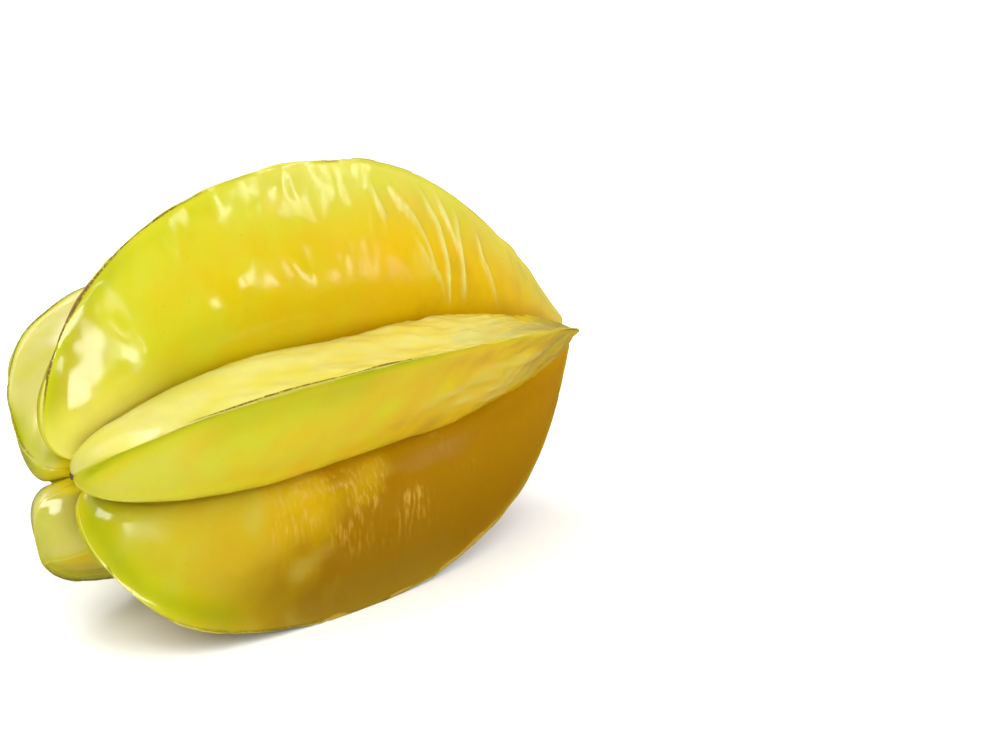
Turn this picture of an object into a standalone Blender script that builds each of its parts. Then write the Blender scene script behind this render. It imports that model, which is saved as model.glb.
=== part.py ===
# A whole star fruit lying on two of its five ribs, with the dried stub of its stalk.
# It points along +X, from the stalk end to the blossom tip, and lies on z = 0.
import math

import bmesh
import bpy
import numpy as np
from mathutils import Matrix, Vector

MM = 0.001

# How the fruit lies: the blossom tip dips a little, and the two lower ribs are
# pressed flat where they touch the surface.
TIP_DIP = math.radians(1.1)
PRESSED_FLAT = 0.3 * MM

# The pit that the stalk grew from, and the clearance below the stub in it.
PIT_DEPTH = 3.0
PIT_RADIUS = 1.6
STUB_GAP = 0.35

# The fruit's own frame has +X along it and its lengths here are in millimetres.
# Stations run from the pit (0) to the blossom tip (1), and a crest or a furrow is
# a smooth curve through one point for each station.
STATIONS = (0.0, 0.06, 0.13, 0.22, 0.35, 0.52, 0.70, 0.86, 1.0)

# A rib's crest leaves the pit, swells forward over its shoulder and reaches its
# greatest height, as (along, out). The clock says where the rib stands, in degrees
# from straight up as seen from the stalk end, at each of CLOCK_STATIONS. A web is
# flesh that fills the start of the furrow after the rib, as shifts of its points.
CLOCK_STATIONS = (0.0, 0.2, 0.42, 1.0)
RIBS = (
    {"crest": ((-3.5, 5.5), (-5.5, 13.5), (-1.5, 25.0), (12.5, 37.5), (39.5, 43.5)),
     "clock": (-5.5, -1.0, -2.0, -8.0)},
    {"crest": ((-4.0, 6.5), (-7.0, 15.5), (-2.5, 26.0), (12.0, 38.5), (40.0, 42.0)),
     "clock": (65.5, 60.0, 59.5, 65.5)},
    {"crest": ((-1.0, 4.5), (-2.5, 11.5), (1.5, 21.5), (13.0, 31.0), (40.5, 36.0)),
     "clock": (138.0, 141.5, 143.5, 136.0)},
    {"crest": ((-4.5, 3.5), (-5.5, 9.5), (-1.0, 19.5), (13.0, 27.0), (41.0, 31.0)),
     "clock": (200.5, 200.0, 201.5, 200.5),
     "web": ((-0.8, 0.0), (-1.2, 0.2), (-0.8, 0.2))},
    {"crest": ((-2.5, 4.0), (-2.5, 11.5), (2.5, 22.5), (15.0, 36.0), (41.0, 43.5)),
     "clock": (284.5, 287.5, 291.0, 284.5)},
)

# Behind their greatest height the ribs are alike, as along, and out as a share of
# that height. They run in to a blunt tip.
TAIL = ((70.0, 0.90), (94.0, 0.56), (112.0, 0.085))

# The furrows between the ribs, as (along, out).
FURROW = ((1.5, 4.0), (2.5, 8.5), (8.0, 12.5), (22.0, 15.5), (43.5, 15.5), (67.5, 13.5),
          (90.0, 8.5), (109.5, 1.8))
TIP_HOLLOW = 1.0

# A rib's side is a cubic curve from furrow to crest. It leaves the furrow almost
# straight out, swells, and comes in to a narrow rounded nib.
ROOT_PULL = 0.42
ROOT_SPLAY = math.radians(14.0)
NIB_PULL = 0.34
NIB_SPLAY = 0.05
NIB_RADIUS = 0.7
NIB_SHARE = 0.3

# Near the stalk end a rib is a blunt finger instead, between these stations.
FINGER_FROM = 0.05
FINGER_TO = 0.25
FINGER_PULL = 0.8
FINGER_SPLAY = 0.30

# Facets: steps along the fruit, up each side of a rib, and over half of its nib.
STEPS_ALONG = 40
STEPS_UP_SIDE = 5
STEPS_OVER_NIB = 2

# Finish: pale yellow waxy skin, and dry brown wood.
FRUIT_COLOUR = (0.78, 0.66, 0.06)
FRUIT_ROUGHNESS = 0.25
STUB_COLOUR = (0.10, 0.05, 0.02)
STUB_ROUGHNESS = 0.85
SHARP_ANGLE = math.radians(50.0)

# The stub, from its foot to its broken end, as (height, radius), and the ridges
# that run up it.
STUB_OUTLINE = ((0.0, 0.95), (0.3, 1.1), (0.9, 1.0), (1.7, 0.9), (2.4, 0.95), (2.8, 0.65))
STUB_SIDES = 15
STUB_RIDGES = 5
STUB_RIDGE_SHARE = 0.12


def clear_scene():
    for thing in list(bpy.data.objects):
        bpy.data.objects.remove(thing, do_unlink=True)


def smooth_curve(stations, values, at):
    """Natural cubic spline through one value per station."""
    stations = np.array(stations, float)
    values = np.array(values, float)
    step = np.diff(stations)
    slope = np.diff(values) / step
    count = len(stations)
    system = np.eye(count)
    target = np.zeros(count)
    for i in range(1, count - 1):
        system[i, i - 1] = step[i - 1]
        system[i, i] = 2.0 * (step[i - 1] + step[i])
        system[i, i + 1] = step[i]
        target[i] = 6.0 * (slope[i] - slope[i - 1])
    bend = np.linalg.solve(system, target)
    i = np.clip(np.searchsorted(stations, at, side="right") - 1, 0, count - 2)
    x = at - stations[i]
    rise = slope[i] - step[i] * (2.0 * bend[i] + bend[i + 1]) / 6.0
    return values[i] + x * rise + x**2 * bend[i] / 2.0 + x**3 * (bend[i + 1] - bend[i]) / (6.0 * step[i])


def ease(x):
    x = np.clip(x, 0.0, 1.0)
    return x * x * (3.0 - 2.0 * x)


def crest_line(rib, at):
    """Along, out and clock angle of a rib's crest."""
    height = rib["crest"][-1][1]
    tail = tuple((along, share * height) for along, share in TAIL)
    points = np.array(((PIT_DEPTH, PIT_RADIUS),) + rib["crest"] + tail)
    along = smooth_curve(STATIONS, points[:, 0], at)
    out = smooth_curve(STATIONS, points[:, 1], at)
    clock = np.radians(smooth_curve(CLOCK_STATIONS, rib["clock"], at))
    return along, out, clock


def furrow_line(rib, following, at):
    """Along, out and clock angle of the furrow between a rib and the following one."""
    points = np.array(((PIT_DEPTH, PIT_RADIUS),) + FURROW)
    points[1:4] += np.array(rib.get("web", ((0.0, 0.0),) * 3))
    along = smooth_curve(STATIONS, points[:, 0], at)
    out = smooth_curve(STATIONS, points[:, 1], at)
    clock = crest_line(rib, at)[2]
    gap = (crest_line(following, at)[2] - clock) % (2.0 * math.pi)
    return along, out, clock + gap / 2.0


def direction(clock):
    """Unit vectors across the fruit: out at this clock angle, and a quarter turn on."""
    out = np.stack([-np.sin(clock), np.cos(clock)], -1)
    on = np.stack([-np.cos(clock), -np.sin(clock)], -1)
    return out, on


def rib_side(crest, furrow, side, at):
    """Points from the furrow up to the middle of the nib, for every station in at."""
    crest_along, crest_out, crest_clock = crest
    furrow_along, furrow_out, furrow_clock = furrow
    up, across = direction(crest_clock)
    across = across * side
    root = furrow_out[:, None] * direction(furrow_clock)[0]
    top = crest_out[:, None] * up
    height = ((top - root) * up).sum(-1)
    finger = 1.0 - ease((at - FINGER_FROM) / (FINGER_TO - FINGER_FROM))
    nib = np.minimum(NIB_RADIUS, NIB_SHARE * height)

    shoulder = top + nib[:, None] * (across - up)
    splayed = math.cos(ROOT_SPLAY) * up + math.sin(ROOT_SPLAY) * across
    root_pull = root + (ROOT_PULL * height)[:, None] * splayed
    down = NIB_PULL * (1.0 - FINGER_PULL * finger) * height
    outward = (NIB_SPLAY + FINGER_SPLAY * finger) * height
    nib_pull = shoulder - down[:, None] * up + outward[:, None] * across

    rows = []
    for t in np.linspace(0.0, 1.0, STEPS_UP_SIDE + 1):
        s = 1.0 - t
        section = s**3 * root + 3 * s**2 * t * root_pull + 3 * s * t**2 * nib_pull + t**3 * shoulder
        along = furrow_along + (crest_along - furrow_along) * (1.0 - s**2)
        rows.append((along, section))
    for turn in np.linspace(0.0, math.pi / 2.0, STEPS_OVER_NIB + 1)[1:]:
        round_over = (math.cos(turn) - 1.0) * across + math.sin(turn) * up
        rows.append((crest_along, shoulder + nib[:, None] * round_over))
    return [np.concatenate([along[:, None], flat], 1) for along, flat in rows]


def fruit_rings(at):
    """Rings of points round the fruit, one ring for each station in at."""
    columns = []
    for number, rib in enumerate(RIBS):
        before = RIBS[number - 1]
        after = RIBS[(number + 1) % len(RIBS)]
        crest = crest_line(rib, at)
        rising = rib_side(crest, furrow_line(before, rib, at), -1.0, at)
        falling = rib_side(crest, furrow_line(rib, after, at), 1.0, at)
        columns += rising[:-1] + falling[:0:-1]
    return np.stack(columns, 1)


def ringed_body(rings, ends):
    """A closed bmesh from rings of points, with one point to close each end."""
    shape = bmesh.new()
    rows = [[shape.verts.new(point) for point in ring * MM] for ring in rings]
    first, last = (shape.verts.new(point * MM) for point in ends)
    count = len(rows[0])
    for row, following in zip(rows, rows[1:]):
        for i in range(count):
            j = (i + 1) % count
            shape.faces.new((row[i], row[j], following[j], following[i]))
    for i in range(count):
        j = (i + 1) % count
        shape.faces.new((first, rows[0][j], rows[0][i]))
        shape.faces.new((last, rows[-1][i], rows[-1][j]))
    return shape


def press_flat(shape, lying):
    """Cut the body off level, PRESSED_FLAT above its lowest point as it lies."""
    lowest = min((lying @ vert.co).z for vert in shape.verts)
    level = Vector((0.0, 0.0, lowest + PRESSED_FLAT))
    to_own = lying.inverted()
    everything = shape.verts[:] + shape.edges[:] + shape.faces[:]
    cut = bmesh.ops.bisect_plane(shape, geom=everything, dist=1e-7, plane_co=to_own @ level,
                                 plane_no=to_own.to_3x3() @ Vector((0.0, 0.0, 1.0)), clear_inner=True)
    rim = [piece for piece in cut["geom_cut"] if isinstance(piece, bmesh.types.BMEdge)]
    bmesh.ops.edgenet_fill(shape, edges=rim)


def plain_material(name, colour, roughness):
    material = bpy.data.materials.new(name)
    material.use_nodes = True
    shader = material.node_tree.nodes["Principled BSDF"]
    shader.inputs["Base Color"].default_value = (*colour, 1.0)
    shader.inputs["Roughness"].default_value = roughness
    shader.inputs["Metallic"].default_value = 0.0
    return material


def mesh_object(name, shape, parent, colour, roughness):
    """An object under parent that holds the body, smooth except at hard edges."""
    bmesh.ops.recalc_face_normals(shape, faces=shape.faces)
    mesh = bpy.data.meshes.new(name)
    shape.to_mesh(mesh)
    shape.free()
    mesh.shade_smooth()
    mesh.set_sharp_from_angle(angle=SHARP_ANGLE)
    mesh.materials.append(plain_material(name, colour, roughness))
    body = bpy.data.objects.new(name, mesh)
    bpy.context.collection.objects.link(body)
    body.parent = parent
    return body


def make_fruit(parent):
    rings = fruit_rings(np.linspace(0.0, 1.0, STEPS_ALONG + 1))
    pit_floor = np.array([PIT_DEPTH, 0.0, 0.0])
    tip_floor = rings[-1].mean(0) - np.array([TIP_HOLLOW, 0.0, 0.0])
    shape = ringed_body(rings, (pit_floor, tip_floor))
    press_flat(shape, parent.matrix_basis)
    return mesh_object("fruit", shape, parent, FRUIT_COLOUR, FRUIT_ROUGHNESS)


def make_stub(parent):
    turns = np.linspace(0.0, 2.0 * math.pi, STUB_SIDES, endpoint=False)
    ridges = 1.0 + STUB_RIDGE_SHARE * np.cos(STUB_RIDGES * turns)
    foot = PIT_DEPTH - STUB_GAP
    rings = []
    for height, radius in STUB_OUTLINE:
        across = direction(turns)[0] * (radius * ridges)[:, None]
        rings.append(np.concatenate([np.full((STUB_SIDES, 1), foot - height), across], 1))
    ends = (np.array([foot, 0.0, 0.0]), np.array([foot - STUB_OUTLINE[-1][0], 0.0, 0.0]))
    shape = ringed_body(np.array(rings), ends)
    return mesh_object("stalk_stub", shape, parent, STUB_COLOUR, STUB_ROUGHNESS)


def set_down(parent, fruit):
    """Bring the fruit's bottom centre to the origin."""
    corners = [parent.matrix_basis @ vert.co for vert in fruit.data.vertices]
    low = [min(corner[axis] for corner in corners) for axis in range(3)]
    high = [max(corner[axis] for corner in corners) for axis in range(3)]
    parent.location = (-(low[0] + high[0]) / 2.0, -(low[1] + high[1]) / 2.0, -low[2])


clear_scene()
star_fruit = bpy.data.objects.new("star_fruit", None)
bpy.context.collection.objects.link(star_fruit)
star_fruit.matrix_basis = Matrix.Rotation(TIP_DIP, 4, "Y")
set_down(star_fruit, make_fruit(star_fruit))
make_stub(star_fruit)
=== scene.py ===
# A ripe star fruit (carambola) lying on two of its five ribs, with the dry stub of its stalk.
# The dictionaries are in millimetres and degrees unless a note says otherwise.
import math

import bpy
import numpy as np
from mathutils import Matrix, Vector, noise


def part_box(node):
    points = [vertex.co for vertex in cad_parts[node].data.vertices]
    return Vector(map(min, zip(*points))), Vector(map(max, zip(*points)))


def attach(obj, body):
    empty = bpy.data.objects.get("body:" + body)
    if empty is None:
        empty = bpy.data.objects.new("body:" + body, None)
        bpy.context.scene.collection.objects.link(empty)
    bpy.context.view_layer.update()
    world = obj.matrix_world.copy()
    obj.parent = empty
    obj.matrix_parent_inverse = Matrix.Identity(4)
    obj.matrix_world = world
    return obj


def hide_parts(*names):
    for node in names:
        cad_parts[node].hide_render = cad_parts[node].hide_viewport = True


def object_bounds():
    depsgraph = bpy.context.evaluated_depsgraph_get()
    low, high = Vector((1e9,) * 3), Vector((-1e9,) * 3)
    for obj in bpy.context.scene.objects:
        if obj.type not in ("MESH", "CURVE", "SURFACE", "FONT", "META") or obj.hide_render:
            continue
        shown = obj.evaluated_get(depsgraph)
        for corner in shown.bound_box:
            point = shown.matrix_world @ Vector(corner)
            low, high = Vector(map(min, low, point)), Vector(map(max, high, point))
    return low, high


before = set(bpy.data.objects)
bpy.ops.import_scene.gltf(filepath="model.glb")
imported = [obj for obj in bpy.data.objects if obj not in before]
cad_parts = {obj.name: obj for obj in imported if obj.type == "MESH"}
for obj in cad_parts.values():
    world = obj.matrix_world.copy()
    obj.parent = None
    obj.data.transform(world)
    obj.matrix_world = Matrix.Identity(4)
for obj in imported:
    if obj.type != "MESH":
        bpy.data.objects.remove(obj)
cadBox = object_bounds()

mm = 0.001


def smoothCurve(stations, values, at):
    # natural cubic spline through one value for each station
    stations = np.array(stations, float)
    values = np.array(values, float)
    step = np.diff(stations)
    slope = np.diff(values) / step
    count = len(stations)
    system = np.eye(count)
    target = np.zeros(count)
    for i in range(1, count - 1):
        system[i, i - 1] = step[i - 1]
        system[i, i] = 2 * (step[i - 1] + step[i])
        system[i, i + 1] = step[i]
        target[i] = 6 * (slope[i] - slope[i - 1])
    bend = np.linalg.solve(system, target)
    i = np.clip(np.searchsorted(stations, at, side="right") - 1, 0, count - 2)
    x = at - stations[i]
    rise = slope[i] - step[i] * (2 * bend[i] + bend[i + 1]) / 6
    return values[i] + x * rise + x**2 * bend[i] / 2 + x**3 * (bend[i + 1] - bend[i]) / (6 * step[i])


def ease(x):
    x = np.clip(x, 0, 1)
    return x * x * (3 - 2 * x)


def rise(x, start, end):
    # eases from zero at start to one at end, whichever of the two is higher
    return ease((x - start) / (end - start))


def window(x, low, high, soft):
    # one between low and high, easing to zero over the soft distance outside them
    return ease((x - low) / soft + 1) * ease((high - x) / soft + 1)


def hump(x, width):
    return np.exp(-(x / width) ** 2)


def bumpy(points, size, seed):
    # smooth noise from about -1 to 1, with lumps about as big as size
    shift = Vector((17.3 * seed, -9.1 * seed, 4.7 * seed))
    flat = points.reshape(-1, 3) / size
    values = [noise.noise(Vector(point) + shift) for point in flat.tolist()]
    return np.array(values).reshape(points.shape[:-1])


# Ribs and furrows are smooth curves through one point for each station, as (along, out).
# The stations run from the pit (0) to the blossom tip (1), and the clock says where a rib
# stands, in degrees from straight up as seen from the stalk end.
fruitForm = {
    "tipDip": 1.1,  # degrees that the blossom tip hangs lower than the pit
    "pressedFlat": 0.3,  # how much of the two lowest crests is flat on the floor
    "pitDepth": 3.0,
    "pitRadius": 1.6,
    "stations": (0.0, 0.06, 0.13, 0.22, 0.35, 0.52, 0.70, 0.86, 1.0),
    "clockStations": (0.0, 0.2, 0.42, 1.0),
    "ribs": (
        {"crest": ((-3.5, 5.5), (-5.5, 13.5), (-1.5, 25.0), (12.5, 37.5), (39.5, 43.5)),
         "clock": (-5.5, -1.0, -2.0, -8.0)},
        {"crest": ((-4.0, 6.5), (-7.0, 15.5), (-2.5, 26.0), (12.0, 38.5), (40.0, 42.0)),
         "clock": (65.5, 60.0, 59.5, 65.5)},
        {"crest": ((-1.0, 4.5), (-2.5, 11.5), (1.5, 21.5), (13.0, 31.0), (40.5, 36.0)),
         "clock": (138.0, 141.5, 143.5, 136.0)},
        {"crest": ((-4.5, 3.5), (-5.5, 9.5), (-1.0, 19.5), (13.0, 27.0), (41.0, 31.0)),
         "clock": (200.5, 200.0, 201.5, 200.5),
         "web": ((-0.8, 0.0), (-1.2, 0.2), (-0.8, 0.2))},  # flesh in the furrow after it
        {"crest": ((-2.5, 4.0), (-2.5, 11.5), (2.5, 22.5), (15.0, 36.0), (41.0, 43.5)),
         "clock": (284.5, 287.5, 291.0, 284.5)},
    ),
    "tail": ((70.0, 0.90), (94.0, 0.56), (112.0, 0.085)),  # along, share of the rib's height
    "furrow": ((1.5, 4.0), (2.5, 8.5), (8.0, 12.5), (22.0, 15.5), (43.5, 15.5), (67.5, 13.5),
               (90.0, 8.5), (109.5, 1.8)),
    "tipHollow": 1.0,
    # how a flank leaves the furrow (root) and comes to the crest (nib), as shares of its height
    "rootPull": 0.42,
    "rootSplay": 14.0,  # degrees
    "nibPull": 0.34,
    "nibSplay": 0.05,
    "nibRadius": 0.4,  # the rounding of a crest, at most this share of the flank's height:
    "nibShare": 0.3,
    "finger": (0.05, 0.25),  # stations between which a rib changes from a blunt finger
    "fingerPull": 0.8,
    "fingerSplay": 0.30,
    "stepsAlong": 394,
    "stepsUpSide": 25,
    "stepsToTip": 6,
    "evenSteps": 0.42,  # 1 spaces the steps evenly, less packs them by the crest and furrow
    "curveSteps": 60,  # how finely a flank and its nib are drawn before they are stepped
    "nibSteps": 8,
}
top, camera, near, far, upper = range(5)  # the ribs, in the order of the list above


def crestLine(number, at):
    rib = fruitForm["ribs"][number % 5]
    height = rib["crest"][-1][1]
    tail = tuple((along, share * height) for along, share in fruitForm["tail"])
    pit = ((fruitForm["pitDepth"], fruitForm["pitRadius"]),)
    points = np.array(pit + rib["crest"] + tail)
    along = smoothCurve(fruitForm["stations"], points[:, 0], at)
    out = smoothCurve(fruitForm["stations"], points[:, 1], at)
    clock = np.radians(smoothCurve(fruitForm["clockStations"], rib["clock"], at))
    return along, out, clock


def furrowLine(number, at):
    # the furrow after this rib
    pit = ((fruitForm["pitDepth"], fruitForm["pitRadius"]),)
    points = np.array(pit + fruitForm["furrow"])
    points[1:4] += np.array(fruitForm["ribs"][number % 5].get("web", ((0.0, 0.0),) * 3))
    along = smoothCurve(fruitForm["stations"], points[:, 0], at)
    out = smoothCurve(fruitForm["stations"], points[:, 1], at)
    clock = crestLine(number, at)[2]
    gap = (crestLine(number + 1, at)[2] - clock) % (2 * math.pi)
    return along, out, clock + gap / 2


def direction(clock):
    # unit vectors across the fruit: out at this clock angle, and a quarter turn on
    out = np.stack([-np.sin(clock), np.cos(clock)], -1)
    on = np.stack([-np.cos(clock), -np.sin(clock)], -1)
    return out, on


def flank(crest, furrow, side, at):
    # points up one side of a rib, from the furrow to the crest, and how far up each one is
    crestAlong, crestOut, crestClock = crest
    furrowAlong, furrowOut, furrowClock = furrow
    up, across = direction(crestClock)
    across = across * side
    root = furrowOut[:, None] * direction(furrowClock)[0]
    peak = crestOut[:, None] * up
    height = ((peak - root) * up).sum(-1)
    blunt, slim = fruitForm["finger"]
    finger = rise(at, slim, blunt)
    nib = np.minimum(fruitForm["nibRadius"], fruitForm["nibShare"] * height)
    splay = math.radians(fruitForm["rootSplay"])

    shoulder = peak + nib[:, None] * (across - up)
    splayed = math.cos(splay) * up + math.sin(splay) * across
    rootPull = root + (fruitForm["rootPull"] * height)[:, None] * splayed
    down = fruitForm["nibPull"] * (1 - fruitForm["fingerPull"] * finger) * height
    outward = (fruitForm["nibSplay"] + fruitForm["fingerSplay"] * finger) * height
    nibPull = shoulder - down[:, None] * up + outward[:, None] * across

    rows = []
    for t in np.linspace(0, 1, fruitForm["curveSteps"] + 1):
        s = 1 - t
        section = s**3 * root + 3 * s**2 * t * rootPull + 3 * s * t**2 * nibPull + t**3 * shoulder
        rows.append((furrowAlong + (crestAlong - furrowAlong) * (1 - s**2), section))
    for turn in np.linspace(0, math.pi / 2, fruitForm["nibSteps"] + 1)[1:]:
        rounded = (math.cos(turn) - 1) * across + math.sin(turn) * up
        rows.append((crestAlong, shoulder + nib[:, None] * rounded))
    curve = np.stack([np.concatenate([along[:, None], flat], 1) for along, flat in rows], 1)

    lengths = np.linalg.norm(np.diff(curve, axis=1), axis=-1)
    climbed = np.concatenate([np.zeros((len(at), 1)), np.cumsum(lengths, 1)], 1)
    x = np.linspace(0, 1, fruitForm["stepsUpSide"] + 1)
    even = fruitForm["evenSteps"]
    spread = even * x + (1 - even) * (1 - np.cos(math.pi * x)) / 2
    height = spread * climbed[:, -1:]
    points = np.empty(height.shape + (3,))
    for row in range(len(at)):
        for axis in range(3):
            points[row, :, axis] = np.interp(height[row], climbed[row], curve[row, :, axis])
    return points, height


def wholeSkin():
    # rows of points along the fruit, columns round it, with what the details need to know
    at = np.linspace(0, 1, fruitForm["stepsAlong"] + 1)
    columns = {"points": [], "toFurrow": [], "toCrest": [], "rib": [], "side": []}
    for number in range(5):
        crest = crestLine(number, at)
        for side in (-1, 1):
            furrow = furrowLine(number - 1, at) if side < 0 else furrowLine(number, at)
            points, height = flank(crest, furrow, side, at)
            order = range(fruitForm["stepsUpSide"])
            if side > 0:
                order = range(fruitForm["stepsUpSide"], 0, -1)
            for i in order:
                columns["points"].append(points[:, i])
                columns["toFurrow"].append(height[:, i])
                columns["toCrest"].append(height[:, -1] - height[:, i])
                columns["rib"].append(number)
                columns["side"].append(side)
    skin = {name: np.stack(columns[name], 1) for name in ("points", "toFurrow", "toCrest")}
    skin["rib"] = np.array(columns["rib"])
    skin["side"] = np.array(columns["side"])
    skin["at"] = at[:, None] + 0 * skin["toCrest"]
    return skin


def outward(points):
    # unit normals of the rows and columns
    along = np.gradient(points, axis=0)
    around = np.roll(points, -1, 1) - np.roll(points, 1, 1)
    normal = np.cross(around, along)
    normal /= np.linalg.norm(normal, axis=-1, keepdims=True) + 1e-9
    middle = points.mean(1, keepdims=True)
    if ((points - middle) * normal).sum() < 0:
        normal = -normal
    return normal


skinDetail = {
    "seed": 8,
    "mmPerStation": 162.0,  # length of a crest from the pit to the tip
    "swell": ((24.0, 0.7), (9.0, 0.36), (4.5, 0.22), (2.4, 0.07)),  # size and height of the lumps
    "waver": (11.0, 0.45),  # length and height of the crests' sideways waves
    "thinned": (3.4, 0.45),  # how far from a crest the rib thins to its edge, and how much
    "nicks": (60, 0.9, 0.25),  # small bites out of the crests: number, length, depth
    "crease": (0.9, 0.3),  # the sharp bottom of a furrow: width, depth
    "wrinkleWander": (5.0, 1.1, 5),  # how the raised wrinkles stray: length, width and seed
    "foldPatch": 11.0,  # how big the patches are in which folds come and go
    "foldSeeds": (30, 50),
    "restLumpy": 0.6,  # how lumpy the flanks are that lumpyFlanks doesn't name
}

# How lumpy each flank is, and whether it stays smooth lower down, as (share, down to here).
lumpyFlanks = {
    (top, 1): (1.0, 17.0),
    (camera, -1): (0.8, 40.0),
    (camera, 1): (0.45, 40.0),
    (near, -1): (0.6, 40.0),
    (upper, 1): (0.15, 40.0),
}

# The hollow green groove beside a crest: stations, distance from the crest, width and depth.
grooves = {
    (top, 1): (0.10, 0.30, 2.0, 1.3, 0.15),
    (camera, 1): (0.13, 0.60, 1.2, 0.9, 0.50),
    (upper, 1): (0.08, 0.40, 1.8, 1.1, 0.10),
    (near, 1): (0.12, 0.50, 1.8, 1.1, 0.30),
    (far, -1): (0.12, 0.50, 1.8, 1.1, 0.30),
}

# Fine folds: stations, size along and down the flank, how much they slant, and height.
folds = {
    (camera, -1): (0.28, 1.00, 20.0, 2.0, -0.20, 0.50),
    (camera, 1): (0.55, 1.00, 16.0, 2.0, 0.45, 0.42),
    (near, -1): (0.34, 0.75, 1.8, 7.0, 0.0, 0.10),
    (top, 1): (0.66, 1.00, 4.2, 12.0, 0.0, 0.07),
    (top, -1): (0.55, 1.00, 4.0, 15.0, 0.0, 0.24),
    (upper, 1): (0.55, 1.00, 4.0, 15.0, 0.0, 0.24),
    (upper, -1): (0.50, 1.00, 18.0, 3.0, 0.3, 0.24),
    (far, -1): (0.45, 1.00, 4.0, 13.0, 0.0, 0.22),
    (far, 1): (0.45, 1.00, 16.0, 3.0, -0.3, 0.20),
    (near, 1): (0.45, 1.00, 16.0, 3.0, 0.3, 0.20),
}

# Raised wrinkles: half width, height, how much paler they are than the skin round them as a
# painted highlight, and for each one a line of points (station, distance from the crest).
raisedWrinkles = {
    (top, 1): (0.42, 0.34, 0.9, (
        ((0.686, 2.5), (0.709, 8.0), (0.727, 12.5), (0.732, 17.5), (0.755, 23.5)),
        ((0.709, 13.0), (0.720, 17.0), (0.740, 20.0)),
        ((0.735, 2.0), (0.754, 8.0), (0.759, 16.5), (0.752, 21.0)),
        ((0.793, 2.0), (0.786, 12.0), (0.785, 22.0)),
        ((0.824, 5.0), (0.831, 10.5), (0.855, 17.0)),
        ((0.662, 4.0), (0.674, 11.0)),
        ((0.755, 17.0), (0.762, 23.0)),
        ((0.768, 2.0), (0.776, 8.0), (0.786, 12.0)),
    )),
    (camera, -1): (0.8, 0.36, 0.5, (
        ((0.58, 6.5), (0.66, 8.5), (0.76, 8.0)),
        ((0.61, 10.5), (0.69, 12.0), (0.80, 10.5)),
        ((0.63, 14.5), (0.71, 14.5), (0.80, 12.5)),
        ((0.65, 4.0), (0.72, 5.5), (0.82, 5.0)),
    )),
    (camera, 1): (0.8, 0.36, 0.5, (
        ((0.57, 16.0), (0.65, 12.0), (0.76, 9.0)),
        ((0.61, 18.5), (0.69, 14.5), (0.80, 10.5)),
        ((0.63, 10.5), (0.70, 7.5), (0.80, 6.0)),
        ((0.66, 19.5), (0.73, 16.0), (0.82, 12.5)),
    )),
}


def strokeHeight(skin, rib, side, stroke, width):
    # a hump along a broken line on one flank, which thins out towards both its ends
    mine = np.flatnonzero(onFlank(skin, rib, side))
    scale = np.array([skinDetail["mmPerStation"], 1.0])
    line = np.array(stroke) * scale
    here = np.stack([skin["at"][:, mine], skin["toCrest"][:, mine]], -1) * scale
    size, wander, seed = skinDetail["wrinkleWander"]
    here[..., 0] += wander * bumpy(skin["points"][:, mine], size, seed)
    count = len(line) - 1
    best = np.full(here.shape[:2], 1e9)
    place = np.zeros(here.shape[:2])
    for i in range(count):
        step = line[i + 1] - line[i]
        t = np.clip(((here - line[i]) @ step) / (step @ step), 0, 1)
        gap = np.linalg.norm(here - line[i] - t[..., None] * step, axis=-1)
        closer = gap < best
        best[closer] = gap[closer]
        place[closer] = (t[closer] + i) / count
    height = np.zeros(skin["toCrest"].shape)
    height[:, mine] = hump(best, width) * ease(4 * place) * ease(4 * (1 - place))
    return height


def onFlank(skin, rib, side):
    return (skin["rib"] == rib) & (skin["side"] == side)


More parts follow.
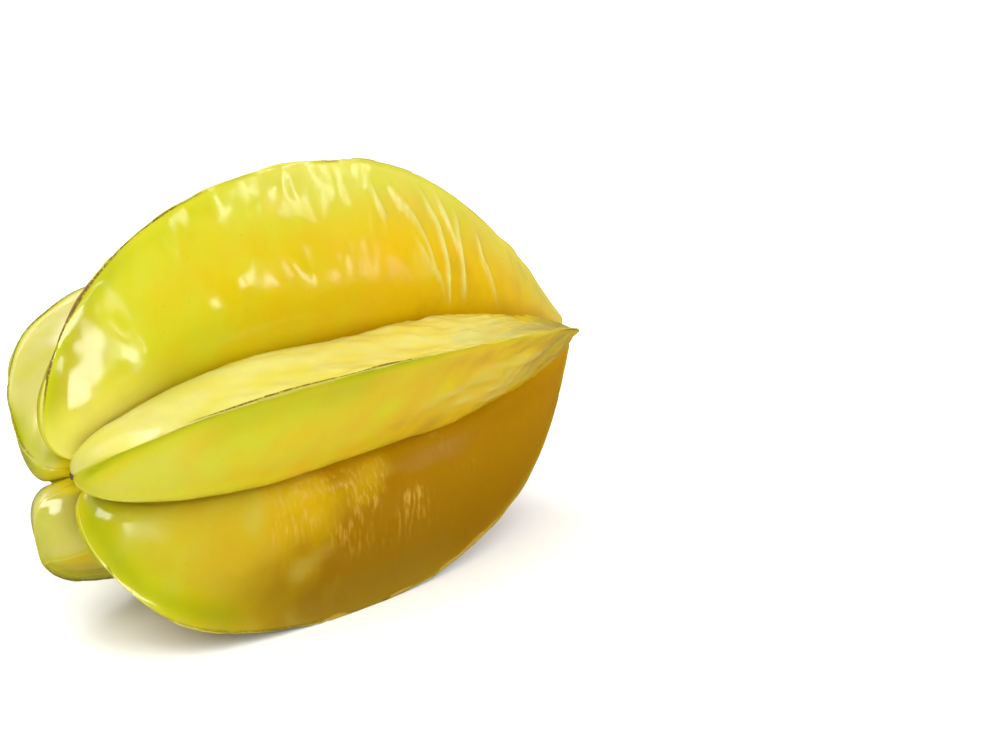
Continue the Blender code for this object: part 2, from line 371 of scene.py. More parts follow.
def carved(skin):
    points = skin["points"]
    normal = outward(points)
    at, toCrest, toFurrow = skin["at"], skin["toCrest"], skin["toFurrow"]
    seed = skinDetail["seed"]
    crestWay = at * skinDetail["mmPerStation"]
    raised = np.zeros(at.shape)
    body = rise(at, 0, 0.16) * rise(at, 1, 0.9)  # the details die out at the pit and the tip

    lumps = np.zeros(at.shape)
    for number, (size, height) in enumerate(skinDetail["swell"]):
        lumps += height * bumpy(points, size, seed + number)
    share = np.full(at.shape, skinDetail["restLumpy"])
    for (rib, side), (amount, downTo) in lumpyFlanks.items():
        mine = onFlank(skin, rib, side)
        share[:, mine] = amount * (0.25 + 0.75 * rise(toCrest[:, mine], downTo + 6, downTo))
    raised += lumps * share * body * rise(at, 0.12, 0.28)

    width, depth = skinDetail["thinned"]
    raised -= depth * hump(toCrest, width) * rise(at, 0.09, 0.19) * rise(toFurrow, 0, 4)
    width, depth = skinDetail["crease"]
    raised -= depth * hump(toFurrow, width) * body
    for (rib, side), (start, end, place, width, depth) in grooves.items():
        groove = depth * hump(toCrest - place, width) * window(at, start, end, 0.08)
        raised -= groove * onFlank(skin, rib, side)

    waveSeed, patchSeed = skinDetail["foldSeeds"]
    for number, ((rib, side), fold) in enumerate(folds.items()):
        start, end, length, breadth, slant, height = fold
        mine = onFlank(skin, rib, side)
        way, down = crestWay[:, mine], toCrest[:, mine]
        flat = np.stack([(way - slant * down) / length, (down + slant * way) / breadth,
                         0 * way], -1)
        wave = 1 - 2 * np.abs(bumpy(flat, 1.0, waveSeed + number))
        patch = bumpy(points[:, mine], skinDetail["foldPatch"], patchSeed + number)
        wave *= 0.55 + 0.9 * patch
        fade = window(at[:, mine], start + 0.15, end, 0.15) * rise(down, 0, 2) * body[:, mine]
        raised[:, mine] += height * wave * fade

    draw = np.random.default_rng(seed)
    count, length, depth = skinDetail["nicks"]
    for rib, where, big in zip(draw.integers(0, 5, count), draw.uniform(0.12, 0.95, count),
                               draw.uniform(0.3, 1.0, count)):
        away = (at - where) * skinDetail["mmPerStation"]
        bite = depth * big * hump(away, length * big) * hump(toCrest, 0.6)
        raised -= bite * (skin["rib"] == rib)

    for (rib, side), (width, height, _, strokes) in raisedWrinkles.items():
        for stroke in strokes:
            raised += height * strokeHeight(skin, rib, side, stroke, width)

    # the crests wander a little from side to side
    length, height = skinDetail["waver"]
    line = np.stack([crestWay, 40.0 * skin["rib"] + 0 * at, 0 * at], -1)
    sideways = height * bumpy(line, length, seed) * hump(toCrest, 5.0) * body * skin["side"]
    return points + normal * (raised + sideways)[..., None]


def closedRows(points):
    # rows that run in from the last ring to the middle of the tip
    last = points[-1]
    middle = last.mean(0) - np.array([fruitForm["tipHollow"], 0, 0])
    shares = np.linspace(0, 1, fruitForm["stepsToTip"] + 1)[1:-1]
    inner = [last + (middle - last) * share for share in shares]
    return np.concatenate([points, np.stack(inner)]), middle


def meshFromRows(name, rows, first, last):
    count = rows.shape[1]
    points = np.concatenate([rows.reshape(-1, 3), [first], [last]])
    i = np.arange(count)
    j = (i + 1) % count
    faces = []
    for row in range(len(rows) - 1):
        a = row * count
        b = a + count
        faces += np.stack([a + i, b + i, b + j, a + j], 1).tolist()
    start = len(points) - 2
    faces += np.stack([i * 0 + start, i, j], 1).tolist()
    end = (len(rows) - 1) * count
    faces += np.stack([i * 0 + start + 1, end + j, end + i], 1).tolist()
    mesh = bpy.data.meshes.new(name)
    mesh.from_pydata(points.tolist(), [], faces)
    mesh.shade_smooth()
    mesh.update()
    piece = bpy.data.objects.new(name, mesh)
    bpy.context.collection.objects.link(piece)
    return piece


def addValues(piece, name, values):
    attribute = piece.data.attributes.new(name, "FLOAT", "POINT")
    attribute.data.foreach_set("value", np.asarray(values, np.float32))


def dipped(points):
    dip = math.radians(fruitForm["tipDip"])
    x, y, z = points[..., 0], points[..., 1], points[..., 2]
    return np.stack([x * math.cos(dip) + z * math.sin(dip), y,
                     z * math.cos(dip) - x * math.sin(dip)], -1)


def placing(points):
    # what brings the dipped fruit, in millimetres, into the CAD fruit's box
    low, high = (np.array(corner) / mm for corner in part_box("fruit"))
    ownLow = points.reshape(-1, 3).min(0)
    ownHigh = points.reshape(-1, 3).max(0)
    ownLow[2] += fruitForm["pressedFlat"]
    scale = np.minimum(1, (high - low) / (ownHigh - ownLow))
    shift = (low + high) / 2 - scale * (ownLow + ownHigh) / 2
    shift[2] = low[2] - scale[2] * ownLow[2]
    return scale, shift, low[2]


def placed(points, placeAs):
    scale, shift, floorLevel = placeAs
    points = dipped(points) * scale + shift
    points[..., 2] = np.maximum(points[..., 2], floorLevel)
    return points * mm


def linear(hexColour):
    # sRGB hex to linear RGBA
    parts = [int(hexColour[i:i + 2], 16) / 255 for i in (1, 3, 5)]
    return tuple(c / 12.92 if c <= 0.04045 else ((c + 0.055) / 1.055) ** 2.4 for c in parts) + (1.0,)


def addNode(owner, kind, settings=None, out=0, **links):
    # Adds a node to a material or world and gives back one of its outputs. An input takes a
    # number, a colour or another output, and i with a number means an input by its place.
    node = owner.node_tree.nodes.new("ShaderNode" + kind)
    for name, value in (settings or {}).items():
        setattr(node, name, value)
    for name, value in links.items():
        socket = node.inputs[int(name[1:]) if name[1:].isdigit() else name]
        if isinstance(value, bpy.types.NodeSocket):
            owner.node_tree.links.new(value, socket)
        else:
            socket.default_value = value
    return node.outputs[out]


def newMaterial(name):
    material = bpy.data.materials.new(name)
    material.use_nodes = True
    return material, material.node_tree.nodes["Principled BSDF"]


waxySkinLook = {
    # from green yellow through yellow, golden and amber to brown amber
    "ripening": ((0.0, "#b0ad1a"), (0.25, "#b7a406"), (0.55, "#bd9a02"), (0.8, "#a68404"),
                 (1.0, "#926903")),
    "uneven": 0.65,
    "sheenCream": "#bab364",
    "ribGreen": "#929600",
    "furrowAmberShade": "#ab7f03",
    "rimOliveShade": "#98922c",
    "shadeOlive": "#9b8e2b",
    "floorShadeBrown": "#573c02",
    "deepGlow": "#eee47c",
    "pitGoldLight": "#cab70e",
    "crestPale": "#bdb550",
    "crestBrown": "#5f4f12",
    "streakShineGold": "#c09a3e",
    "scabBrown": "#5e3a14",
    # uneven patterns: size of the lumps in millimetres, detail and raggedness
    "lumps": {
        "mottle": (9.0, 3.0, 0.5),
        "edgeDots": (0.5, 3.0, 0.5),
        "ragged": (0.8, 4.0, 0.7),
        "gloss": (3.0, 3.0, 0.5),
        "peel": (0.8, 2.0, 0.5),
    },
    "streak": (0.8, 0.8, 3.2),
    "speck": 1.4,
    "scabGrip": 0.6,
    # what fades: what it follows, between which values, and from how much to how much
    "fades": {
        "inFurrow": ("toFurrow", 5.0, 0.0, 0.0, 1.0),
        "paleMottle": ("mottle", 0.2, 0.6, 0.5, 1.0),
        "greenMottle": ("mottle", 0.2, 0.6, 0.7, 1.0),
        "rimBand": ("toCrest", 1.7, 0.1, 0.0, 1.0),
        "paleBand": ("toCrest", 0.45, 0.30, 0.0, 1.0),
        "brownTop": ("toCrest", 0.20, 0.40, 0.0, 1.0),
        "brownFoot": ("toCrest", 1.15, 0.85, 0.0, 1.0),
        "brownDots": ("edgeDots", 0.3, 0.55, 0.0, 1.0),
        "streaky": ("strokes", 0.46, 0.72, 0.0, 1.0),
        "scabby": ("scabEdge", 0.86, 0.98, 0.0, 1.0),
        "speckSpots": ("toSpeck", 0.16, 0.05, 0.0, 1.0),
        "fewSpecks": ("speckLuck", 0.80, 0.90, 0.0, 1.0),
        "fleshLight": ("toCrest", 0.8, 4.0, 0.08, 0.9),
        "waxGloss": ("gloss", 0.3, 0.7, 0.12, 0.18),
    },
    # coats of colour from the first to the last, and what each one's strength is made of
    "coats": (
        # painted shade in the furrows, partly their own amber
        ("furrowAmberShade", "inFurrow", "furrowTint"),
        # painted sheen: pale cream of reflected light
        ("sheenCream", "paintedSheen", "paleMottle"),
        # the rib's own green, kept dark partly as painted shade in the groove beside a crest
        ("ribGreen", "greenness", "greenMottle"),  # it stays green longest along a rib's edge
        ("rimOliveShade", "rimBand", "rim"),  # partly the edge's own olive, partly painted shade against the light that goes through a rib's thin edge
        ("shadeOlive", "shaded", 0.7),
        # painted shade low on the rib that the fruit lies on
        ("floorShadeBrown", "floorShade"),
        ("deepGlow", "deepGlow"),  # painted light: flesh lit from inside, deep between two ribs
        # painted light in the shaded hollow round the stalk, partly its own gold
        ("pitGoldLight", "pitGoldLight"),
        ("crestPale", "paleLines"),
        ("crestBrown", "brownLine"),
        # painted highlight: fine upright streaks of shine
        ("streakShineGold", "streaky", "streakShine"),
        ("scabBrown", "scabby", 0.85),
        ("scabBrown", "speckSpots", "fewSpecks", 0.2),
    ),
    "ior": 1.42,
    "shine": 0.5,
    "shineLost": 0.42,  # where the wax has rubbed off or dried
    "scabRoughness": 0.4,
    "dullRoughness": 0.07,
    "lightDepth": 2.2,
    "lightReach": (1.0, 0.75, 0.12),  # red goes furthest into the flesh, and blue hardly at all
    "bump": (0.3, 0.03),
}


def waxySkin(tintNames):
    # Carambola skin: a thin clear wax over translucent yellow flesh. Light goes a few
    # millimetres in and comes out yellow, and the wax gives cream-white soft highlights.
    look = waxySkinLook
    material, shader = newMaterial("waxy carambola skin")
    plus = {"operation": "ADD"}
    minus = {"operation": "SUBTRACT"}
    times = {"operation": "MULTIPLY"}
    larger = {"operation": "MAXIMUM"}

    # everything that varies over the skin, by name: what its mesh stores, then the patterns
    skinAt = {}
    for name in tintNames:
        skinAt[name] = addNode(material, "Attribute", {"attribute_name": name}, "Fac")
    where = addNode(material, "TexCoord", None, "Object")
    for name, (size, detail, ragged) in look["lumps"].items():
        skinAt[name] = addNode(material, "TexNoise", None, "Fac", Vector=where,
                               Scale=1 / (size * mm), Detail=detail, Roughness=ragged)
    stretched = addNode(material, "Mapping", None, Vector=where,
                        Scale=tuple(1 / (size * mm) for size in look["streak"]))
    skinAt["strokes"] = addNode(material, "TexNoise", None, "Fac", Vector=stretched,
                                Scale=1.0, Detail=2.0)
    scab = addNode(material, "Math", times, i0=skinAt["scab"], i1=look["scabGrip"])
    skinAt["scabEdge"] = addNode(material, "Math", plus, i0=skinAt["ragged"], i1=scab)
    toSpeck = addNode(material, "TexVoronoi", {"feature": "F1"}, "Distance", Vector=where,
                      Scale=1 / (look["speck"] * mm))
    luck = addNode(material, "Math", times, i0=toSpeck.node.outputs["Color"], i1=7.0)
    skinAt["toSpeck"] = toSpeck
    skinAt["speckLuck"] = addNode(material, "Math", {"operation": "FRACT"}, i0=luck)
    for name, (source, start, end, least, most) in look["fades"].items():
        skinAt[name] = addNode(material, "MapRange", {"interpolation_type": "SMOOTHSTEP"},
                               Value=skinAt[source], i1=start, i2=end, i3=least, i4=most)

    # a rib's edge: a thin pale line, partly a painted highlight, and under it a finer brown one that
    # breaks up into dots
    pale = addNode(material, "Math", times, i0=skinAt["paleBand"], i1=skinAt["edgePale"])
    skinAt["paleLines"] = addNode(material, "Math", larger, i0=pale, i1=skinAt["creasePale"])
    brown = addNode(material, "Math", times, i0=skinAt["brownTop"], i1=skinAt["brownFoot"])
    dots = addNode(material, "Math", times, i0=skinAt["edgeBrown"], i1=skinAt["brownDots"])
    skinAt["brownLine"] = addNode(material, "Math", times, i0=brown, i1=dots)

    uneven = addNode(material, "Math", minus, i0=skinAt["mottle"], i1=0.5)
    uneven = addNode(material, "Math", times, i0=uneven, i1=look["uneven"])
    ripeness = addNode(material, "Math", plus, i0=skinAt["ripeness"], i1=uneven)
    colour = addNode(material, "ValToRGB", None, "Color", Fac=ripeness)
    stops = colour.node.color_ramp.elements
    while len(stops) < len(look["ripening"]):
        stops.new(0.5)
    for stop, (position, hexColour) in zip(stops, look["ripening"]):
        stop.position = position
        stop.color = linear(hexColour)
    for coat, first, *others in look["coats"]:
        strength = skinAt[first]
        for other in others:
            strength = addNode(material, "Math", times, i0=strength, i1=skinAt.get(other, other))
        colour = addNode(material, "Mix", {"data_type": "RGBA"}, 2, i0=strength, i6=colour,
                         i7=linear(look[coat]))

    scab = addNode(material, "Math", times, i0=skinAt["scabby"], i1=look["scabRoughness"])
    rough = addNode(material, "Math", plus, i0=skinAt["waxGloss"], i1=scab)
    dull = addNode(material, "Math", times, i0=skinAt["dull"], i1=look["dullRoughness"])
    rough = addNode(material, "Math", plus, i0=rough, i1=dull)
    matt = addNode(material, "Math", larger, i0=skinAt["scabby"], i1=skinAt["brownLine"])
    matt = addNode(material, "Math", larger, i0=skinAt["dull"], i1=matt)
    lost = addNode(material, "Math", times, i0=matt, i1=look["shineLost"])
    shine = addNode(material, "Math", minus, i0=look["shine"], i1=lost)
    strength, depth = look["bump"]
    bump = addNode(material, "Bump", None, Height=skinAt["peel"], Strength=strength,
                   Distance=depth * mm)

    links = material.node_tree.links
    links.new(colour, shader.inputs["Base Color"])
    links.new(rough, shader.inputs["Roughness"])
    links.new(shine, shader.inputs["Specular IOR Level"])
    links.new(bump, shader.inputs["Normal"])
    # the edge of a rib is dry and firm, and lets less light through than the flesh
    links.new(skinAt["fleshLight"], shader.inputs["Subsurface Weight"])
    shader.inputs["Subsurface Radius"].default_value = look["lightReach"]
    shader.inputs["Subsurface Scale"].default_value = look["lightDepth"] * mm
    shader.inputs["IOR"].default_value = look["ior"]
    return material


dryStalkLook = {
    "dark": "#2e1c0e",
    "light": "#7a5530",
    "fibre": 0.35,
    "fibreStretch": (0.2, 1.0, 1.0),  # the fibres run along the stalk
    "ior": 1.5,
    "roughness": 0.85,
    "bump": (0.6, 0.12),
}


def dryStalk():
    # The dried stalk: dead woody fibre, matt and brown, dark and light by the fibre.
    look = dryStalkLook
    material, shader = newMaterial("dry stalk wood")
    where = addNode(material, "TexCoord", None, "Object")
    stretched = addNode(material, "Mapping", None, Vector=where, Scale=look["fibreStretch"])
    fibres = addNode(material, "TexNoise", None, "Fac", Vector=stretched,
                     Scale=1 / (look["fibre"] * mm), Detail=4.0)
    colour = addNode(material, "Mix", {"data_type": "RGBA"}, 2, i0=fibres,
                     i6=linear(look["dark"]), i7=linear(look["light"]))
    strength, depth = look["bump"]
    bump = addNode(material, "Bump", None, Height=fibres, Strength=strength,
                   Distance=depth * mm)
    material.node_tree.links.new(colour, shader.inputs["Base Color"])
    material.node_tree.links.new(bump, shader.inputs["Normal"])
    shader.inputs["Roughness"].default_value = look["roughness"]
    shader.inputs["IOR"].default_value = look["ior"]
    return material


print("growing the fruit")
skin = wholeSkin()
skinShape = carved(skin)
placeFruit = placing(dipped(skinShape))
rows, tipMiddle = closedRows(skinShape)
pitMiddle = np.array([fruitForm["pitDepth"], 0.0, 0.0])
fruit = meshFromRows("star_fruit_skin", placed(rows, placeFruit), placed(pitMiddle, placeFruit),
                     placed(tipMiddle, placeFruit))


def fullColumn(values, inPit, atTip):
    # one value for each vertex: the rows, the rows to the tip, and the two end points
    extra = np.repeat(values[-1:], len(rows) - len(values), 0)
    return np.concatenate([values.ravel(), extra.ravel(), [inPit], [atTip]])


def on(rib, side):
    return onFlank(skin, rib, side)


# The tints all run from 0 to 1. Ripeness goes from green yellow (0) to brown amber (1).
skinTone = {
    "ripe": 0.05,
    "riperToTip": 0.45,
    "amberLower": 0.45,
    "height": 72.0,  # of the whole fruit, for what low means
    "riperUnder": (0.16, 0.30, 0.28),  # the rib underneath: at once, to the tip, and low down by the floor as painted shade
    "shadePastCrease": 0.12,
    "greenerTop": (0.15, 0.30),  # the top rib by its crest, and more in its far half
    "greenerEnd": 0.30,  # the last third of the rib that faces the camera
    "blotch": (5.5, 0.26, 71),  # size, strength and seed of the riper blotches
    # a painted crease across the far rib, with painted shade past it and painted light before it: its
    # station so far from the crest, and how much it slants
    "crease": (0.205, 6.0, 0.0016),
    "softGreen": 0.07,  # how softly green patches and edge lines end, in stations
    "softEdge": 0.05,
    "edgeReach": 1.5,  # how far from a crest its lines can reach
    "streakPatch": (7.0, 61),  # size and seed
}

# Whole flanks with painted sheen: pale cream where their wax mirrors light.
sheenFlanks = {
    (camera, -1): 0.9,
    (camera, 1): 0.1,
    (upper, 1): 0.95,
    (upper, -1): 0.5,
    (far, 1): 1.0,
}

# Green patches: stations, distance from the crest, width and strength.
greenPlaces = {
    (camera, 1): ((0.14, 0.52, 1.1, 1.6, 1.0), (0.50, 0.70, 1.5, 1.1, 0.25),
                  (0.34, 0.46, 5.0, 4.0, 0.45)),
    (near, -1): ((0.12, 0.36, 3.4, 3.8, 0.9),),
    (top, 1): ((0.14, 0.30, 2.4, 1.8, 0.6), (0.28, 0.50, 1.5, 2.0, 0.25)),
    (top, -1): ((0.14, 0.50, 1.5, 2.0, 0.6),),
    (upper, 1): ((0.07, 0.16, 2.0, 2.5, 0.6), (0.16, 0.50, 0.6, 1.1, 0.9)),
    (upper, -1): ((0.07, 0.45, 1.5, 2.0, 0.8),),
    (far, -1): ((0.06, 0.40, 1.5, 2.5, 0.45),),
    (far, 1): ((0.20, 0.40, 1.5, 2.5, 0.5),),
    (near, 1): ((0.12, 0.45, 1.5, 2.5, 0.7),),
}

# The pale lines, partly painted highlight, and the brown lines along the ribs' edges: stations and
# strength.
paleEdges = {
    (top, 1): (0.10, 0.60, 1.0),
    (top, -1): (0.10, 0.60, 1.0),
    (near, -1): (0.10, 0.60, 1.0),
    (far, -1): (0.06, 0.16, 0.8),
    (upper, 1): (0.10, 0.60, 0.2),
    (upper, -1): (0.10, 0.60, 0.6),
}
brownEdges = {
    (top, 1): (0.16, 0.42, 1.0),
    (camera, 1): (0.30, 0.52, 1.0),
    (near, -1): (0.30, 0.60, 0.6),
    (upper, 1): (0.12, 0.50, 0.7),
    (far, 1): (0.20, 0.60, 0.7),
}

print("colouring its skin")
points, at = skin["points"], skin["at"]
toCrest, toFurrow = skin["toCrest"], skin["toFurrow"]
along = points[..., 0]
height = placed(points, placeFruit)[..., 2] / mm
station, start, slant = skinTone["crease"]
pastCrease = at - station - slant * (start - toCrest)
farTop = on(top, 1) * rise(at, 0.42, 0.58) * hump(toCrest, 9.0)
size, blotchRipe, seed = skinTone["blotch"]
blotches = bumpy(points, size, seed)

# riper towards the tip, more amber lower down, and most of all on the rib that the fruit lies on,
# which is darkened low down as painted shade by the floor
ripeness = skinTone["ripe"] + skinTone["riperToTip"] * rise(along, 0, 100)
# more amber and darker lower down, by height above the floor
ripeness += skinTone["amberLower"] * (1 - height / skinTone["height"]) * rise(along, -10.5, 59.5)
atOnce, toTip, shadeLowDown = skinTone["riperUnder"]
ripening = atOnce * rise(along, 2, 18) + toTip * rise(along, 8, 83)
# painted shade: darker amber low on the rib underneath, near the floor
ripening += shadeLowDown * rise(height, 26, 4) * rise(along, 2, 18)
ripeness += (skin["rib"] == near) * ripening
# painted shade: more amber past the painted crease on the far rib
ripeness += skinTone["shadePastCrease"] * (skin["rib"] == far) * rise(pastCrease, 0, 0.01)
byCrest, inFarHalf = skinTone["greenerTop"]
ripeness -= byCrest * on(top, 1) * hump(toCrest, 8.0) + inFarHalf * farTop
ripeness -= skinTone["greenerEnd"] * (skin["rib"] == camera) * rise(at, 0.66, 0.86)
ripeness += blotchRipe * blotches * (on(camera, 1) + 0.8 * on(near, -1))

# amber in the furrows, partly painted shade; gold in the hollow round the stalk, painted brighter
# against its shade; and painted light deep between two ribs
# partly the skin's own amber, partly painted shade deep in the furrows
furrowTint = (0.25 + 0.6 * rise(along, 0, 70)) * (1 - 0.4 * on(top, 1))
furrowTint += 0.4 * on(camera, 1) * rise(along, 5, 25)
# painted light: bright gold in the shaded hollow round the stalk, partly its own gold
pitGoldLight = 0.6 * (on(far, 1) | on(upper, -1)) * rise(at, 0.20, 0.12) * rise(toFurrow, 6, 1)
pitGoldLight = np.maximum(0.9 * rise(at, 0.060, 0.025), pitGoldLight)
deepGlow = 0.6 * on(top, 1) * rise(toFurrow, 12, 2) * rise(at, 0.34, 0.14)

greenness = np.zeros(at.shape)
for (rib, side), places in greenPlaces.items():
    for start, end, place, width, strength in places:
        patch = strength * window(at, start, end, skinTone["softGreen"])
        greenness += patch * hump(toCrest - place, width) * on(rib, side)

# painted sheen and reflection: pale cream on the flanks, on the raised wrinkles and by the far rib's
# crease
paintedSheen = np.zeros(at.shape)
for (rib, side), strength in sheenFlanks.items():
    paintedSheen += strength * on(rib, side) * rise(toFurrow, 0, 5) * rise(along, 95, 55)
# painted light: paler before the crease on the far rib, and a little past it
paintedSheen += 0.8 * on(far, -1) * rise(pastCrease, 0, -0.02)
paintedSheen += 0.12 * on(far, -1) * rise(pastCrease, 0, 0.02)
paintedSheen += 0.45 * farTop
paintedSheen -= 0.6 * blotches * on(camera, -1) * window(at, 0.1, 0.6, 0.1)
paintedSheen += 0.35 * ease(-1.5 * blotches) * on(near, -1) * window(at, 0.12, 0.45, 0.1)
paintedSheen += 0.3 * on(camera, 1) * rise(at, 0.36, 0.16) * rise(toCrest, 3, 7)
for (rib, side), (width, _, paler, strokes) in raisedWrinkles.items():
    for stroke in strokes:
        paintedSheen += paler * strokeHeight(skin, rib, side, stroke, 1.2 * width)
# painted highlight along the crease on the far rib
creasePale = 0.9 * on(far, -1) * hump(pastCrease, 0.003) * rise(toCrest, 12, 8)

# painted shade: olive where the rib that the fruit lies on is shaded, and darker olive under the top
# rib's big highlight so that the highlight reads cream
shaded = 0.7 * on(near, -1) * window(at, 0.24, 0.32, 0.18) * rise(toCrest, 4, 9)
shaded += 0.5 * on(near, -1) * window(at, 0.42, 0.60, 0.12) * hump(toCrest, 7.0)
shaded += 0.7 * on(top, 1) * window(at, 0.17, 0.25, 0.04) * window(toCrest, 4.0, 9.0, 2.5)

# little shine: most of the flank that the fruit lies on, and places on the ribs above it
dull = on(near, -1) * rise(at, 0.13, 0.21) * np.maximum(rise(toCrest, 2, 6), rise(at, 0.3, 0.4))
dull += 0.9 * on(camera, -1) * rise(at, 0.26, 0.18)
dull += 0.6 * on(upper, 1) * rise(at, 0.20, 0.12) * rise(toCrest, 0, 4)
dull += 0.95 * on(upper, 1) * hump(toCrest - 1.0, 2.2)
dull += 0.7 * on(top, 1) * window(at, 0.65, 0.85, 0.04) * rise(toCrest, 9, 13)
dull += 0.9 * on(camera, 1) * hump(toCrest - 1.0, 1.3)

# painted shade: olive on the thin rib edges, darker against the light that comes through them, and
# partly their own olive
rim = 0.55 * rise(at, 0.11, 0.18) + 0.17 * (skin["rib"] == far)
rim *= 1 - on(camera, 1) * window(at, 0.12, 0.6, 0.05)
rim += on(camera, 1) * window(at, 0.30, 0.52, 0.05)

# painted shade: brown low on the flank that the fruit lies on, near the floor, with fine upright
# streaks of painted highlight in patches
floorShade = 0.5 * on(near, -1) * rise(height, 29, 4) * rise(at, 0.26, 0.48)
# painted highlight: upright streaks standing in for shine on fine wrinkles
streakShine = 0.55 * on(near, -1) * window(at, 0.42, 0.66, 0.10)
streakShine *= rise(toCrest, 8, 17) * rise(toFurrow, 0, 3)
streakShine *= ease(0.6 + 1.6 * bumpy(points, *skinTone["streakPatch"]))

edgePale = np.zeros(at.shape)
edgeBrown = np.zeros(at.shape)
byEdge = toCrest < skinTone["edgeReach"]
for edges, strength in ((paleEdges, edgePale), (brownEdges, edgeBrown)):
    for (rib, side), (start, end, most) in edges.items():
        strength += most * window(at, start, end, skinTone["softEdge"]) * on(rib, side) * byEdge

# scabs on the top rib's crest, and by the stalk
scab = 0.45 * rise(at, 0.035, 0.015)
scab += (skin["rib"] == top) * window(at, 0.17, 0.27, 0.02) * hump(toCrest, 0.5)
scab += 0.42 * on(top, 1) * window(at, 0.165, 0.30, 0.02) * hump(toCrest - 0.5, 0.7)

# what the material reads, with the values in the middle of the pit and of the tip
tints = {
    "toCrest": (toCrest, 0, 0),
    "toFurrow": (toFurrow, 0, 0),
    "ripeness": (ripeness, 0.5, 1),
    "greenness": (greenness, 0, 0),
    "paintedSheen": (paintedSheen, 0, 0),
    "furrowTint": (furrowTint, 1, 1),
    "rim": (rim, 0, 0),
    "shaded": (shaded, 0, 0),
    "dull": (dull, 0, 0),
    "floorShade": (floorShade, 0, 0),
    "streakShine": (streakShine, 0, 0),
    "pitGoldLight": (pitGoldLight, 1, 0),
    "deepGlow": (deepGlow, 0, 0),
    "edgePale": (edgePale, 0, 0),
    "edgeBrown": (edgeBrown, 0, 0),
    "creasePale": (creasePale, 0, 0),
    "scab": (scab, 1, 1),
}
for name, (values, inPit, atTip) in tints.items():
    addValues(fruit, name, fullColumn(values, inPit, atTip))
fruit.data.materials.append(waxySkin(tints))
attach(fruit, "root")
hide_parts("fruit")

print("adding the dry stub of the stalk")
stalkStub = {
    "gap": 0.35,
    "outline": ((0.0, 0.95), (0.3, 1.1), (0.9, 1.0), (1.7, 0.9), (2.4, 0.95), (2.8, 0.65)),
    "sides": 60,
    "rings": 40,
    "ridges": 5,
    "ridgeShare": 0.12,
    "lump": (0.5, 0.08),  # size and height of the roughness
    "lumpStretch": (0.4, 1.0, 1.0),
    "shrink": 0.08,
    "brokenDip": 0.3,
    "seed": 3,
}


def makeStub():
    turns = np.linspace(0, 2 * math.pi, stalkStub["sides"], endpoint=False)
    ridges = 1 + stalkStub["ridgeShare"] * np.cos(stalkStub["ridges"] * turns)
    outline = np.array(stalkStub["outline"])
    heights = np.linspace(0, outline[-1, 0], stalkStub["rings"])
    radii = smoothCurve(outline[:, 0], outline[:, 1], heights)
    foot = fruitForm["pitDepth"] - stalkStub["gap"]
    rings = []
    for height, radius in zip(heights, radii):
        across = direction(turns)[0] * (radius * ridges)[:, None]
        rings.append(np.concatenate([np.full((len(turns), 1), foot - height), across], 1))
    rings = np.array(rings)
    size, depth = stalkStub["lump"]
    rough = depth * bumpy(rings * np.array(stalkStub["lumpStretch"]), size, stalkStub["seed"])
    rings = rings - outward(rings) * (stalkStub["shrink"] + rough)[..., None]
    first = np.array([foot, 0.0, 0.0])
    last = np.array([foot - outline[-1, 0] + stalkStub["brokenDip"], 0.0, 0.0])
    stub = meshFromRows("dry_stalk_stub", placed(rings, placeFruit), placed(first, placeFruit),
                        placed(last, placeFruit))
    stub.data.materials.append(dryStalk())
    return stub


stub = makeStub()
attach(stub, "root")
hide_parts("stalk_stub")

print("setting up the studio")
studio = {
    "floorSize": 6000.0,
    "floorColour": "#f4f4f2",
    "floorRoughness": 0.9,
    "floorShine": 0.2,
    "skyRise": (0.35, 0.90, 0.10, 1.5),  # height of the dim and the bright sky, their strengths
    # Soft boxes: azimuth and elevation as seen from the fruit, distance, width, height and
    # brightness, whether they light the skin, and whether its wax mirrors them. The big ones
    # only light it, so the yellow stays deep, and the small ones place the shine.
    "softBoxes": {
        "key light": (-68, 27, 1000, 1000, 800, 3.6, True, False),
        "left fill": (-145, 18, 1000, 600, 500, 3.5, True, False),
        "back fill": (90, 50, 1000, 1000, 600, 2.4, True, False),
        "front strip": (-115, 8, 700, 390, 390, 14.0, False, True),
        "narrow strip": (-91, 20, 700, 28, 220, 11.0, False, True),
        "side strip": (-50, 22, 700, 60, 120, 10.0, False, True),
        "far side strip": (-37, 13, 700, 36, 210, 11.0, False, True),
        "low side glow": (-52, -11, 700, 200, 150, 0.8, False, True),
        "left light": (-168, 45, 800, 280, 420, 6.5, True, False),
        "left strip": (-171, 44, 800, 430, 560, 9.5, False, True),
        "overhead light": (180, 80, 800, 200, 200, 4.0, True, True),
        "low back strip": (66, 15, 800, 200, 120, 3.5, False, True),
        "back light": (90, 38, 800, 980, 180, 5.2, False, True),
    },
}


def makeFloor():
    half = studio["floorSize"] * mm / 2
    mesh = bpy.data.meshes.new("floor")
    mesh.from_pydata([(-half, -half, 0), (half, -half, 0), (half, half, 0), (-half, half, 0)], [],
                     [(0, 1, 2, 3)])
    floor = bpy.data.objects.new("floor", mesh)
    bpy.context.collection.objects.link(floor)
    # Matt white card: nearly all the light comes back, with no shine.
    material, shader = newMaterial("matt white card")
    shader.inputs["Base Color"].default_value = linear(studio["floorColour"])
    shader.inputs["Roughness"].default_value = studio["floorRoughness"]
    shader.inputs["Specular IOR Level"].default_value = studio["floorShine"]
    mesh.materials.append(material)
    floor.visible_glossy = False  # a white floor mirrored in the wax would grey the yellow


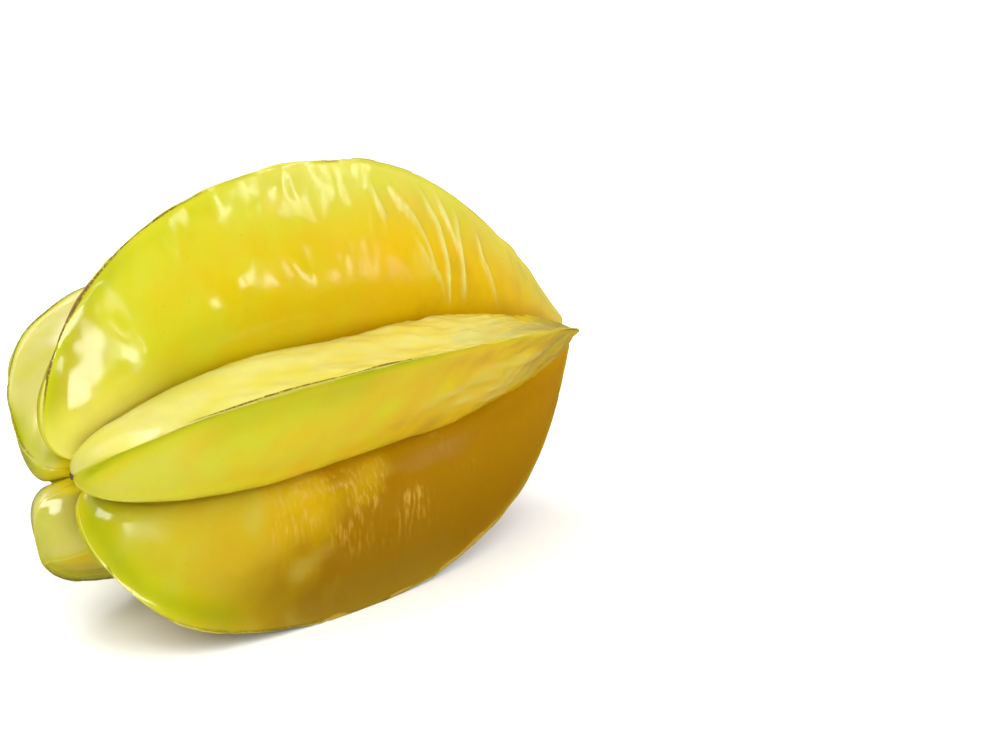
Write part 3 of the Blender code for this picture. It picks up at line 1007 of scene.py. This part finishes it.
def makeSoftBox(name, azimuth, elevation, distance, width, height, glow, lights, mirrored):
    light = bpy.data.lights.new(name, "AREA")
    light.shape = "RECTANGLE"
    light.size = width * mm
    light.size_y = height * mm
    light.energy = glow * math.pi * light.size * light.size_y
    lamp = bpy.data.objects.new(name, light)
    lamp.visible_diffuse = lights
    lamp.visible_glossy = mirrored
    azimuth = math.radians(azimuth)
    elevation = math.radians(elevation)
    away = Vector((math.cos(azimuth) * math.cos(elevation), math.sin(azimuth) * math.cos(elevation),
                   math.sin(elevation)))
    middle = (Vector(cadBox[0]) + Vector(cadBox[1])) / 2
    lamp.location = middle + away * distance * mm
    lamp.rotation_euler = away.to_track_quat("Z", "Y").to_euler()
    bpy.context.collection.objects.link(lamp)


def makeSky():
    world = bpy.data.worlds.new("pale room")
    world.use_nodes = True
    background = world.node_tree.nodes["Background"]
    background.inputs["Color"].default_value = (1.0, 1.0, 1.0, 1.0)
    # dim near the horizon, bright overhead like a white ceiling
    way = addNode(world, "TexCoord", None, "Generated")
    height = addNode(world, "SeparateXYZ", None, "Z", Vector=way)
    dimHeight, brightHeight, dim, bright = studio["skyRise"]
    sky = addNode(world, "MapRange", {"interpolation_type": "SMOOTHSTEP"}, Value=height,
                  i1=dimHeight, i2=brightHeight, i3=dim, i4=bright)
    world.node_tree.links.new(sky, background.inputs["Strength"])
    bpy.context.scene.world = world


makeFloor()
for name, box in studio["softBoxes"].items():
    makeSoftBox(name, *box)
makeSky()
bpy.context.scene.view_settings.view_transform = "Standard"

# The camera looks along azimuth and down by elevation at a point above the origin, which
# it keeps off the middle of the frame by aside and below.
cameraSetup = {
    "azimuth": -45.0,
    "elevation": 20.3,
    "roll": 1.35,
    "target": (0.0, 0.0, 36.0),
    "distance": 490.0,
    "aside": -31.06,
    "below": 2.13,
    "lens": 104.4,
    "sensor": 36.0,
}


def makeCamera():
    setup = cameraSetup
    azimuth = math.radians(setup["azimuth"])
    elevation = math.radians(setup["elevation"])
    roll = math.radians(setup["roll"])
    ahead = Vector((-math.sin(azimuth) * math.cos(elevation), math.cos(azimuth) * math.cos(elevation),
                    -math.sin(elevation)))
    level = Vector((math.cos(azimuth), math.sin(azimuth), 0.0))
    upright = level.cross(ahead)
    right = level * math.cos(roll) + upright * math.sin(roll)
    up = upright * math.cos(roll) - level * math.sin(roll)
    place = Vector(setup["target"]) - ahead * setup["distance"]
    place -= right * setup["aside"] + up * setup["below"]
    lens = bpy.data.cameras.new("camera")
    lens.sensor_width = setup["sensor"]
    lens.lens = setup["lens"]
    lens.clip_start = 10 * mm
    camera = bpy.data.objects.new("camera", lens)
    turn = Matrix((right, up, -ahead)).transposed().to_4x4()
    camera.matrix_world = Matrix.Translation(place * mm) @ turn
    bpy.context.collection.objects.link(camera)
    bpy.context.scene.camera = camera


makeCamera()

print("done")
